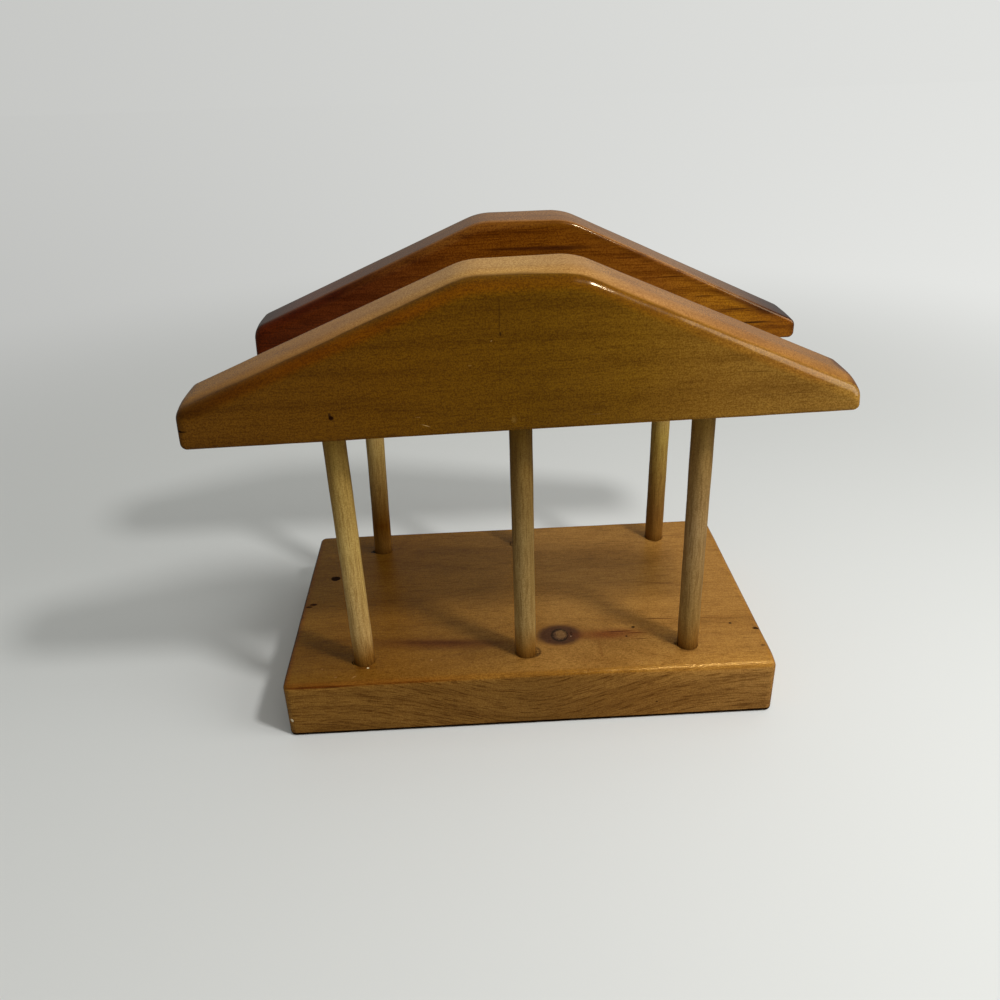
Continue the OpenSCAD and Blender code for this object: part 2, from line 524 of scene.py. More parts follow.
    def ground(self, graph: Graph, place: object, patches: Term, grit: Term) -> bpy.types.NodeSocket:
        """The wood's plain colour: its faces, its sawn sides and its rims.

        Args:
            graph: The material's nodes.
            place: The piece's own coordinates.
            patches: Slow noise.
            grit: Fine noise.

        Returns:
            The colour before grain and marks.
        """
        x, _, z = graph.split(place)
        run = (x if self.along is Along.LENGTH else z) + (patches - 0.5) * self.run_shift
        colour = graph.gradient(run, self.tones)
        # The rim's colours are partly pooled finish and partly a painted glow where the rounded edge catches
        # the light.
        if self.rim_tones:
            fine, coarse = RIM_RAGGED
            reach = graph.attribute("edge") + (grit - 0.5) * fine + (patches - 0.5) * coarse
            shown = reach.ramp(self.rim_reach * self.rim_full, self.rim_reach, self.rim_share, 0.0)
            shown = shown * z.ramp(self.rim_low, self.rim_low + self.rim_fade)
            shown = shown * patches.ramp(*WORN_STEP, self.rim_least, 1.0)
            colour = graph.mix(colour, graph.gradient(run, self.rim_tones), shown)
        if self.side_tones:
            start, blend = (x.ramp(0.0, SIDE_RUN, *ends) for ends in (self.side_start, self.side_blend))
            turned = (graph.attribute("side") - start) / blend + (grit - 0.5) * SIDE_RAGGED
            colour = graph.mix(colour, graph.gradient(run, self.side_tones), turned.ramp(*TURNED_STEP))
        return colour

    def material(self, origin: Triple, turn: Triple) -> bpy.types.Material:
        """Makes the material.

        Args:
            origin: The piece's own origin, in millimetres.
            turn: The piece's turn, as XYZ angles in radians.

        Returns:
            The material, whose patterns follow the piece's own coordinates. Sunk marks count as metallic,
            so that their dark colour takes the gloss away there.
        """
        made = bpy.data.materials.new(self.name)
        graph = Graph(made)
        coordinates = graph.node("ShaderNodeTexCoord").outputs["Object"]
        place = graph.local(coordinates, Vector(origin) * MM, turn, (MM, MM, MM))
        grain = self.bent(graph, place)
        rings = self.rings(graph, grain)
        fibres = graph.noise(grain, self.across(*self.fibre_size), detail=3.0, rough=0.62, bend=0.25)
        patches = graph.noise(grain, self.across(*self.patch_size), detail=3.0, rough=0.55, bend=0.4)
        grit = graph.noise(place, (self.grit_size,) * 3, rough=0.8)
        strokes = graph.noise(grain, self.across(*self.stroke_size), detail=1.5, rough=0.6)

        colour = self.ground(graph, place, patches, grit)
        dark = linear(self.line)
        clear = 1.0
        if self.face_share != self.side_share:
            clear = graph.attribute("side").ramp(*FACE_STEP, self.face_share, self.side_share)
        shaded = patches.ramp(*PATCH_STEP) * self.patch_share
        colour = graph.mix(colour, linear(self.patch), shaded, "MULTIPLY")
        colour = graph.mix(colour, dark, rings * self.ring_share * clear, "MULTIPLY")
        height = fibres * FIBRE_RELIEF + rings * RING_RELIEF + grit * self.grit_relief
        holes: Term | float = 0.0
        for mark in self.marks:
            shown = mark.mask(graph, place, grit)
            colour = graph.mix(colour, linear(mark.colour), shown)
            if mark.sunk:
                height = height - shown * mark.sunk
                holes = (shown * self.hole_share).most(holes)
        darker = (
            fibres.ramp(*FIBRE_STEP) * self.fibre_share * clear,
            strokes.ramp(*STROKE_STEP) * self.stroke_share * clear,
            grit.ramp(*GRIT_STEP) * self.grit_share,
        )
        for share in darker:
            colour = graph.mix(colour, dark, share, "MULTIPLY")
        fine, coarse = GLOSS_RAGGED
        bump = {"Strength": 1.0, "Distance": self.bump * MM, "Height": height}
        relief = graph.node("ShaderNodeBump", None, bump)
        inputs = {
            "Base Color": colour,
            "Metallic": holes,
            "Roughness": self.roughness + (grit - 0.5) * fine + (patches - 0.5) * coarse,
            "IOR": self.ior,
            "Specular Tint": linear(self.tint),
            "Normal": relief.outputs[0],
        }
        graph.finish(graph.node("ShaderNodeBsdfPrincipled", None, inputs).outputs[0])
        return made


def ripple(share: np.ndarray, waves: Waves) -> np.ndarray:
    """A closed ripple round an outline.

    Args:
        share: Places round the outline, from 0 to 1.
        waves: The count, height and start of each wave.

    Returns:
        The sum of height * sin(2 pi (count * share + start)) at each place.
    """
    count, height, start = (np.array(c)[:, None] for c in zip(*waves))
    return (height * np.sin(TURN * (count * share[None, :] + start))).sum(axis=0)


@dataclass(frozen=True)
class Outline:
    """A convex polygon with rounded corners, anticlockwise.

    Attributes:
        corners: The sharp corners.
        radii: The radius of each.
        arc_steps: Steps in each arc.
        run_step: Length of a step in the straight runs between the sharp corners.
    """

    corners: tuple[tuple[float, float], ...]
    radii: tuple[float, ...]
    arc_steps: int
    run_step: float

    def runs(self) -> list[int]:
        """Steps in the straight run behind each corner, the same for all radii."""
        corners = np.array(self.corners, float)
        lengths = np.linalg.norm(np.roll(corners, -1, axis=0) - corners, axis=1)
        return [int(count) for count in np.ceil(lengths / self.run_step)]

    def points(self) -> tuple[np.ndarray, np.ndarray]:
        """Points round the outline, from the start of the first corner's arc.

        Returns:
            Points and outward normals, one row each. Each arc is centred on its corner's bisector at
            radius / sin(half angle), and each straight run between two arcs is shared out evenly.
        """
        corners, radii = np.array(self.corners, float), np.array(self.radii)
        back = np.roll(corners, 1, axis=0) - corners
        ahead = np.roll(corners, -1, axis=0) - corners
        back /= np.linalg.norm(back, axis=1, keepdims=True)
        ahead /= np.linalg.norm(ahead, axis=1, keepdims=True)
        half = np.arccos((back * ahead).sum(axis=1)) / 2
        middle = back + ahead
        middle /= np.linalg.norm(middle, axis=1, keepdims=True)
        centres = corners + middle * (radii / np.sin(half))[:, None]
        start = np.arctan2(back[:, 0], -back[:, 1])
        steps = np.linspace(0, 1, self.arc_steps + 1)[None, :]
        angles = start[:, None] + (math.pi - 2 * half)[:, None] * steps
        normals = np.stack([np.cos(angles), np.sin(angles)], axis=-1)
        arcs = centres[:, None, :] + normals * radii[:, None, None]
        points, facing = [], []
        for arc, following, normal, run in zip(arcs, np.roll(arcs, -1, axis=0), normals, self.runs()):
            shares = (np.arange(1, run) / run)[:, None]
            points += [arc, arc[-1] * (1 - shares) + following[0] * shares]
            facing += [normal, np.repeat(normal[-1:], run - 1, axis=0)]
        return np.concatenate(points), np.concatenate(facing)

    def spread(self, values: tuple[float, ...]) -> np.ndarray:
        """Values at the outline's points from one value for each corner.

        Args:
            values: One for each corner, which holds at the middle of its arc.

        Returns:
            One value for each point. At share k of the way from one arc's middle to the next it is
            v0 + (v1 - v0) (3 k^2 - 2 k^3).
        """
        line, _ = self.points()
        count = len(values)
        step = np.linalg.norm(np.roll(line, -1, axis=0) - line, axis=1)
        way = np.concatenate([[0.0], np.cumsum(step)])
        starts = np.cumsum([0] + [self.arc_steps + run for run in self.runs()[:-1]])
        middles = way[starts + self.arc_steps // 2]
        places = np.concatenate([[middles[-1] - way[-1]], middles, [middles[0] + way[-1]]])
        place = np.interp(way[:-1], places, np.arange(-1, count + 1))
        before = np.floor(place).astype(int)
        share = place - before
        eased = share * share * (3 - 2 * share)
        known = np.array(values, float)
        return known[before % count] * (1 - eased) + known[(before + 1) % count] * eased


def quads(rings: int, count: int, first: int = 0) -> np.ndarray:
    """Faces between neighbouring closed rings of count points, the first of them numbered first."""
    i = first + np.arange(rings - 1)[:, None] * count
    j = np.arange(count)[None, :]
    k = (j + 1) % count
    return np.stack([i + j, i + k, i + k + count, i + j + count], axis=-1).reshape(-1, 4)


def fan(pole: int, ring: np.ndarray) -> np.ndarray:
    """Triangles from a pole to a closed ring of vertex numbers."""
    return np.stack([np.full(len(ring), pole), ring, np.roll(ring, -1)], axis=-1)


@dataclass
class Surface:
    """A closed mesh while it is worked out: points in millimetres and faces by number."""

    points: list[np.ndarray] = field(default_factory=list)
    faces: list[list[int]] = field(default_factory=list)
    count: int = 0

    def add_points(self, points: np.ndarray) -> np.ndarray:
        """Adds rows of points and returns their numbers in the shape of the rows."""
        numbers = self.count + np.arange(points[..., 0].size)
        self.points.append(points.reshape(-1, 3))
        self.count += numbers.size
        return numbers.reshape(points.shape[:-1])

    def add_faces(self, faces: np.ndarray) -> None:
        """Adds faces, one row of vertex numbers each."""
        self.faces.extend(faces.tolist())

    def close(self, ring: np.ndarray, pole: object, down: bool = False) -> None:
        """Closes a ring with a fan to a new point, facing up or down."""
        triangles = fan(int(self.add_points(np.array([pole], float))[0]), ring)
        self.add_faces(triangles[:, ::-1] if down else triangles)

    def all_points(self) -> np.ndarray:
        """Every point so far, one row each."""
        return np.concatenate(self.points)


@dataclass(frozen=True)
class Slab:
    """A board with a rounded outline, cut from a plank, eased along its edges and worn by hand.

    In the slab's own frame the outline lies in the first two axes and the thickness along the third.

    Attributes:
        corners: The sharp corners, anticlockwise.
        radii: The radius of each halfway through the thickness.
        low_radii: The radius of each at the low face, at least as large as the rounding there.
        high_radii: The radius of each at the high face.
        thickness: The plank's thickness.
        low_round: Rounding of the low face's edge at each corner.
        high_round: Rounding of the high face's edge at each corner.
        waves: The ripple of the roundings round the outline.
        worn: How much lower the side has been sanded at the high face, at each corner.
        worn_reach: How far from the high face this begins.
        arc_steps: Steps in each corner's arc.
        run_step: Length of a step between the corners.
        round_steps: Steps in each edge's rounding.
        wall_steps: Steps in the side between the roundings.
        cap_shares: How far each ring on a face has shrunk towards its middle.
    """

    corners: tuple[tuple[float, float], ...]
    radii: tuple[float, ...]
    low_radii: tuple[float, ...]
    high_radii: tuple[float, ...]
    thickness: float
    low_round: tuple[float, ...]
    high_round: tuple[float, ...]
    waves: Waves
    worn: tuple[float, ...]
    worn_reach: float = 9.0
    arc_steps: int = 12
    run_step: float = 1.6
    round_steps: int = 9
    wall_steps: int = 12
    cap_shares: tuple[float, ...] = (0.006, 0.015, 0.03, 0.06, 0.12, 0.25, 0.5)

    def outline(self, radii: tuple[float, ...]) -> Outline:
        """The full outline with the given radii."""
        return Outline(self.corners, radii, self.arc_steps, self.run_step)

    def sink(self) -> np.ndarray:
        """How far the wear lowers each outline point at the high face: worn * normal's rise, if it rises."""
        _, normals = self.outline(self.radii).points()
        return self.outline(self.high_radii).spread(self.worn) * np.maximum(normals[:, 1], 0)

    def cap(self, edge: np.ndarray) -> np.ndarray:
        """Rings on a face, which shrink from its edge towards the outline's middle by the cap shares."""
        shares = np.array(self.cap_shares)[:, None, None]
        middle = np.append(self.outline(self.radii).points()[0].mean(axis=0), edge[0, 2])
        return edge[None, :, :] * (1 - shares) + middle * shares

    def rings(self) -> np.ndarray:
        """Rings of points from inside the low face, over the edges and the side, to inside the high face.

        A rounded edge of radius r is a quarter circle: at angle a its inset is r (1 - sin a) and its
        height is r (1 - cos a). The ripple makes the radius smaller here and there. At depth d under
        the high face the wear lowers the side by sink (1 - d / reach)^2. At height h each corner's
        radius has gone from the middle's to the low face's by (1 - 2 h / thickness)^2 below the middle,
        and likewise to the high face's above it.

        Returns:
            Points, one ring a row.
        """
        points, normals = self.outline(self.radii).points()
        low_line, high_line = self.outline(self.low_radii), self.outline(self.high_radii)
        around = np.linspace(0, 1, len(points), endpoint=False)
        sway = np.minimum(1 + ripple(around, self.waves), 1.0)
        low = low_line.spread(self.low_round) * sway
        high = high_line.spread(self.high_round) * sway
        angle = np.linspace(0, math.pi / 2, self.round_steps + 1)[:, None]
        level = (np.arange(1, self.wall_steps) / self.wall_steps)[:, None]
        wall = low * (1 - level) + (self.thickness - high) * level
        last = angle[::-1]
        inset = np.concatenate([low * (1 - np.sin(angle)), wall * 0, high * (1 - np.sin(last))])
        upper = self.thickness - high * (1 - np.cos(last))
        height = np.concatenate([low * (1 - np.cos(angle)), wall, upper])
        sunk = self.sink() * np.clip(1 - (self.thickness - height) / self.worn_reach, 0, 1) ** 2
        way = 2 * height[:, :, None] / self.thickness - 1
        to_low = np.maximum(-way, 0) ** 2 * (low_line.points()[0] - points)
        to_high = np.maximum(way, 0) ** 2 * (high_line.points()[0] - points)
        flat = points + to_low + to_high - inset[:, :, None] * normals
        flat[..., 1] -= sunk
        walls = np.concatenate([flat, height[:, :, None]], axis=-1)
        return np.concatenate([self.cap(walls[0])[::-1], walls, self.cap(walls[-1])])

    def side_share(self, rows: np.ndarray) -> np.ndarray:
        """How far the surface has turned from a face, at 0, to the sawn side, at 1.

        Args:
            rows: The slab's rings.

        Returns:
            One value for each point: |dz| / |dp| of the way dp over the edge from ring to ring.
        """
        step = np.gradient(rows, axis=0)
        return np.abs(step[..., 2]) / np.maximum(np.linalg.norm(step, axis=-1), TINY)

    def edge_distance(self, points: np.ndarray) -> np.ndarray:
        """Distance from the worn edge, over the face or over the side, in millimetres.

        Args:
            points: Points of the slab, one row each.

        Returns:
            The larger of the distance to the worn outline and the distance to the nearer face.
        """
        line, _ = self.outline(self.high_radii).points()
        line[:, 1] -= self.sink()
        start = line[None, :, :]
        step = np.roll(line, -1, axis=0)[None, :, :] - start
        out = points[:, None, :2] - start
        share = np.clip((out * step).sum(-1) / np.maximum((step * step).sum(-1), TINY), 0, 1)
        across = np.linalg.norm(out - step * share[..., None], axis=-1).min(axis=1)
        depth = np.minimum(points[:, 2], self.thickness - points[:, 2])
        return np.maximum(across, depth)


def put_in_scene(name: str, data: bpy.types.ID) -> bpy.types.Object:
    """Makes an object of a mesh, a lamp or a camera and links it to the scene."""
    made = bpy.data.objects.new(name, data)
    bpy.context.scene.collection.objects.link(made)
    return made


def make_piece(
    name: str,
    points: np.ndarray,
    faces: list[list[int]],
    material: bpy.types.Material,
    values: dict[str, np.ndarray] | None = None,
) -> bpy.types.Object:
    """Puts a worked-out surface into a mesh object that stands for the CAD node of the same kind.

    Args:
        name: The CAD node's name. The piece is called the same with _wood behind it.
        points: Points in millimetres in the shared frame, one row each.
        faces: Vertex numbers of each face, anticlockwise from outside.
        material: The finish.
        values: Numbers at each point that the finish reads, by name.

    Returns:
        The object, which rides on the body and replaces the node.
    """
    mesh = bpy.data.meshes.new(f"{name}_wood")
    mesh.from_pydata((points * MM).tolist(), [], faces)
    mesh.shade_smooth()
    mesh.materials.append(material)
    for label, numbers in (values or {}).items():
        layer = mesh.attributes.new(label, "FLOAT", "POINT")
        layer.data.foreach_set("value", numbers.astype(np.float32))
    piece = put_in_scene(mesh.name, mesh)
    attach(piece, BODY)
    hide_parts(name)
    box = np.array(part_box(name)) / MM
    off = np.abs(np.array([points.min(axis=0), points.max(axis=0)]) - box).max()
    log.info("%s: %d faces, box off by %.2f mm", piece.name, len(faces), off)
    return piece


@dataclass(frozen=True)
class Dowel:
    """A dowel glued into the base below and into a board above.

    Attributes:
        name: The CAD node's name.
        foot: Where its axis meets the top of the base, in millimetres.
        lean: Its lean to the right, in degrees.
        finish: The wood.
        chip: Direction and depth of a chip in the rim of its hole, in degrees and millimetres.
        room: How much thinner than the hole it is on all sides.
    """

    name: str
    foot: tuple[float, float]
    lean: float
    finish: WoodFinish
    chip: tuple[float, float]
    radius: float = 3.2
    room: float = 0.05
    show: float = 78.0
    base_seat: float = 12.0
    board_seat: float = 13.0
    chamfer: float = 0.6
    sides: int = 72
    rings: int = 96

    def build(self) -> bpy.types.Object:
        """Makes the dowel as a surface of revolution.

        At angle a and height h the radius is r + 0.03 sin(2 a + h / 9) + 0.02 sin(h / 2.7), a rod that
        was rounded by hand, and it narrows by the chamfer at both ends.

        Returns:
            The dressed piece.
        """
        length = self.base_seat + self.show + self.board_seat
        inner = np.linspace(self.chamfer, length - self.chamfer, self.rings)
        height = np.concatenate([[0.0], inner, [length]])
        narrow = np.zeros_like(height)
        narrow[[0, -1]] = self.chamfer
        angle = np.linspace(0, TURN, self.sides, endpoint=False)
        wavy = 0.03 * np.sin(2 * angle[None, :] + height[:, None] / 9) + 0.02 * np.sin(height / 2.7)[:, None]
        reach = self.radius - self.room + wavy - narrow[:, None]
        z = np.broadcast_to(height[:, None] - self.base_seat, reach.shape)
        surface = Surface()
        rows = surface.add_points(np.stack([reach * np.cos(angle), reach * np.sin(angle), z], axis=-1))
        surface.add_faces(quads(len(height), self.sides))
        surface.close(rows[0], (0, 0, -self.base_seat), down=True)
        surface.close(rows[-1], (0, 0, length - self.base_seat))
        origin = (*self.foot, BASE_HEIGHT)
        lean = math.radians(self.lean)
        points = surface.all_points() @ np.array(Matrix.Rotation(lean, 3, "Y")).T + np.array(origin)
        material = self.finish.material(origin, (0.0, lean, 0.0))
        return make_piece(self.name, points, surface.faces, material)


@dataclass(frozen=True)
class Base:
    """The base board, with a blind hole for each dowel.

    Attributes:
        finish: The wood.
        dowels: The dowels that it holds.
        right_round: Rounding of the top's edge at the right end of the front.
        worn: How much lower the top has been sanded along the front edge, in millimetres.
        dip: How much lower again it has been sanded towards the right end.
        dip_middle: Where along the edge this is deepest.
        dip_width: Distance over which it fades to exp(-1) of itself.
        worn_reach: How far behind the front the wear begins.
        glue: Room round a dowel. Below 0 the glue closes the hole round it.
        rim: Rounding of a hole's rim.
        rim_steps: Steps in this rounding.
        shelf: Flat ring round a hole's rim.
        kept_caps: Rings of the top's edge that are kept round the holed middle.
    """

    finish: WoodFinish
    dowels: tuple[Dowel, ...]
    width: float = 148.0
    depth: float = 88.0
    corner: float = 2.2
    top_round: float = 1.4
    right_round: float = 2.1
    foot_round: float = 0.8
    worn: float = 0.9
    dip: float = 1.3
    dip_middle: float = 62.0
    dip_width: float = 26.0
    worn_reach: float = 6.4
    glue: float = -0.03
    rim: float = 0.2
    rim_steps: int = 4
    shelf: float = 0.5
    hole_sides: int = 64
    kept_caps: int = 5

    def slab(self) -> Slab:
        """The board's shape."""
        x, y = self.width / 2, self.depth / 2
        corners = (self.corner,) * 4
        return Slab(
            corners=((-x, -y), (x, -y), (x, y), (-x, y)),
            radii=corners,
            low_radii=corners,
            high_radii=corners,
            thickness=BASE_HEIGHT,
            low_round=(self.foot_round,) * 4,
            high_round=(self.top_round, self.right_round, self.top_round, self.top_round),
            waves=((3, 0.07, 0.1), (7, 0.06, 0.4), (17, 0.04, 0.75), (41, 0.03, 0.2)),
            worn=(0.0,) * 4,
            cap_shares=(0.006, 0.015, 0.03, 0.055, 0.08, 0.25, 0.5),
        )

    def hole(self, dowel: Dowel) -> np.ndarray:
        """Rings of one blind hole, from the flat round its rim down to its floor.

        Args:
            dowel: The dowel that it holds.

        Returns:
            Points, one ring a row. Past the rim the radius is r + c exp(-(a - a0)^2 / 0.3), where the
            chip c is at angle a0 and fades on the way down, and the axis leans with the dowel.
        """
        angle = np.linspace(0, TURN, self.hole_sides, endpoint=False)
        away = (angle - math.radians(dowel.chip[0]) + math.pi) % TURN - math.pi
        chip = dowel.chip[1] * np.exp(-away * away / 0.3)
        quarter = np.linspace(0, math.pi / 2, self.rim_steps + 1)
        out = np.concatenate([[self.shelf], self.rim * (1 - np.sin(quarter)), [0.0]])
        down = np.concatenate([[0.0], self.rim * (1 - np.cos(quarter)), [dowel.base_seat]])
        fade = np.concatenate([[1.0, 1.0], np.linspace(1.0, 0.3, self.rim_steps), [0.0]])
        reach = dowel.radius + self.glue + out[:, None] + chip[None, :] * fade[:, None]
        lean = -down * math.tan(math.radians(dowel.lean))
        x = dowel.foot[0] + lean[:, None] + reach * np.cos(angle)
        y = dowel.foot[1] + reach * np.sin(angle)
        return np.stack([x, y, np.broadcast_to(BASE_HEIGHT - down[:, None], x.shape)], axis=-1)

    def build(self) -> bpy.types.Object:
        """Makes the base: the slab's walls, its holed top and its plain underside.

        At distance d from the front every height shrinks by (1 - d / reach)^2 / height of itself times
        the wear there, which is worn + dip exp(-((x - middle) / width)^2).

        Returns:
            The dressed piece.
        """
        slab = self.slab()
        rows = slab.rings()
        kept = rows[: len(rows) - len(slab.cap_shares) + self.kept_caps]
        surface = Surface()
        rings = surface.add_points(kept)
        surface.add_faces(quads(len(kept), kept.shape[1]))
        surface.close(rings[0], (0.0, 0.0, 0.0), down=True)
        loops = [rings[-1]]
        for dowel in self.dowels:
            hole = self.hole(dowel)
            wall = surface.add_points(hole)
            surface.add_faces(quads(len(wall), self.hole_sides, int(wall[0, 0])))
            surface.close(wall[-1], hole[-1].mean(axis=0))
            loops.append(wall[0])
        surface.add_faces(self.top_faces(surface.all_points(), loops))
        points = surface.all_points()
        side = np.zeros(len(points))
        side[: kept[..., 0].size] = slab.side_share(rows)[: len(kept)].ravel()
        values = {"edge": slab.edge_distance(points), "side": side}
        near = np.clip(1 - (points[:, 1] + self.depth / 2) / self.worn_reach, 0, 1)
        worn = self.worn + self.dip * np.exp(-(((points[:, 0] - self.dip_middle) / self.dip_width) ** 2))
        points[:, 2] *= 1 - near * near * worn / BASE_HEIGHT
        material = self.finish.material((0.0, 0.0, 0.0), (0.0, 0.0, 0.0))
        return make_piece("base", points, surface.faces, material, values)

    def top_faces(self, points: np.ndarray, loops: list[np.ndarray]) -> np.ndarray:
        """Triangles of the flat top, between the outer ring and the holes' rims.

        Args:
            points: Every point of the surface.
            loops: Vertex numbers of the outer ring and of each hole's rim.

        Returns:
            Triangles that face up. They are a constrained Delaunay set without those inside a hole.
        """
        numbers = np.concatenate(loops)
        starts = np.cumsum([0] + [len(loop) for loop in loops[:-1]])
        edges = [
            np.stack([s + np.arange(len(loop)), s + (np.arange(len(loop)) + 1) % len(loop)], axis=-1)
            for s, loop in zip(starts, loops)
        ]
        flat = [Vector(p) for p in points[numbers, :2].tolist()]
        made = delaunay_2d_cdt(flat, np.concatenate(edges).tolist(), [], 1, WELD)
        origin = np.array([source[0] for source in made[3]])
        triangles = origin[np.array(made[2])]
        middles = points[numbers[triangles], :2].mean(axis=1)
        feet = np.array([dowel.foot for dowel in self.dowels])
        gaps = np.linalg.norm(middles[:, None, :] - feet[None, :, :], axis=-1).min(axis=1)
        inside = self.dowels[0].radius + self.glue + self.shelf * INSIDE_SHARE
        triangles = triangles[gaps > inside]
        a, b, c = (points[numbers[triangles[:, i]], :2] for i in range(3))
        turned = np.cross(b - a, c - a) < 0
        triangles[turned] = triangles[turned][:, ::-1]
        return numbers[triangles]


@dataclass(frozen=True)
class HoldingBoard:
    """One of the two gabled boards that hold the napkins between them.

    Attributes:
        name: The CAD node's name.
        finish: The wood.
        slab: Its shape, with the outline as seen from the front.
        middle: Where the middle of its underside lies along the holder.
        row: Where it lies from front to back.
        lean: Its lean towards the back, in degrees.
        tilt: Its tilt to the right, in degrees.
        underside: Height of its underside.
    """

    name: str
    finish: WoodFinish
    slab: Slab
    middle: float
    row: float
    lean: float
    tilt: float
    underside: float = 97.0

    def build(self) -> bpy.types.Object:
        """Makes the board and stands it on its dowels.

        Returns:
            The dressed piece.
        """
        surface = Surface()
        rows = self.slab.rings()
        rings = surface.add_points(rows)
        surface.add_faces(quads(len(rows), rows.shape[1]))
        middle = rows[0].mean(axis=0)
        surface.close(rings[0], (middle[0], middle[1], 0.0), down=True)
        surface.close(rings[-1], (middle[0], middle[1], self.slab.thickness))
        flat = surface.all_points()
        side = np.concatenate([self.slab.side_share(rows).ravel(), [0.0, 0.0]])
        values = {"edge": self.slab.edge_distance(flat), "side": side}
        upright = np.stack([flat[:, 0], self.slab.thickness / 2 - flat[:, 2], flat[:, 1]], axis=-1)
        lean, tilt = math.radians(self.lean), math.radians(self.tilt)
        turn = np.array(Matrix.Rotation(tilt, 3, "Y") @ Matrix.Rotation(lean, 3, "X"))
        origin = (self.middle, self.row, self.underside)
        material = self.finish.material(origin, (lean, tilt, 0.0))
        points = upright @ turn.T + np.array(origin)
        return make_piece(self.name, points, surface.faces, material, values)


@dataclass(frozen=True)
class Lamp:
    """A soft round lamp that faces the object.

    Attributes:
        place: Where it hangs, in metres.
        size: Its diameter, in metres.
        level: Brightness that it gives a white card which faces it at the origin.
    """

    name: str
    place: Triple
    size: float
    level: float

    def build(self) -> None:
        """Hangs the lamp. Its power is level * pi^2 * distance^2."""
        side = Vector(self.place)
        data = bpy.data.lights.new(self.name, "AREA")
        data.shape = "DISK"
        data.size = self.size
        data.energy = self.level * math.pi**2 * side.length_squared
        lamp = put_in_scene(self.name, data)
        lamp.location = side
        lamp.rotation_mode = "QUATERNION"
        lamp.rotation_quaternion = side.to_track_quat("Z", "Y")


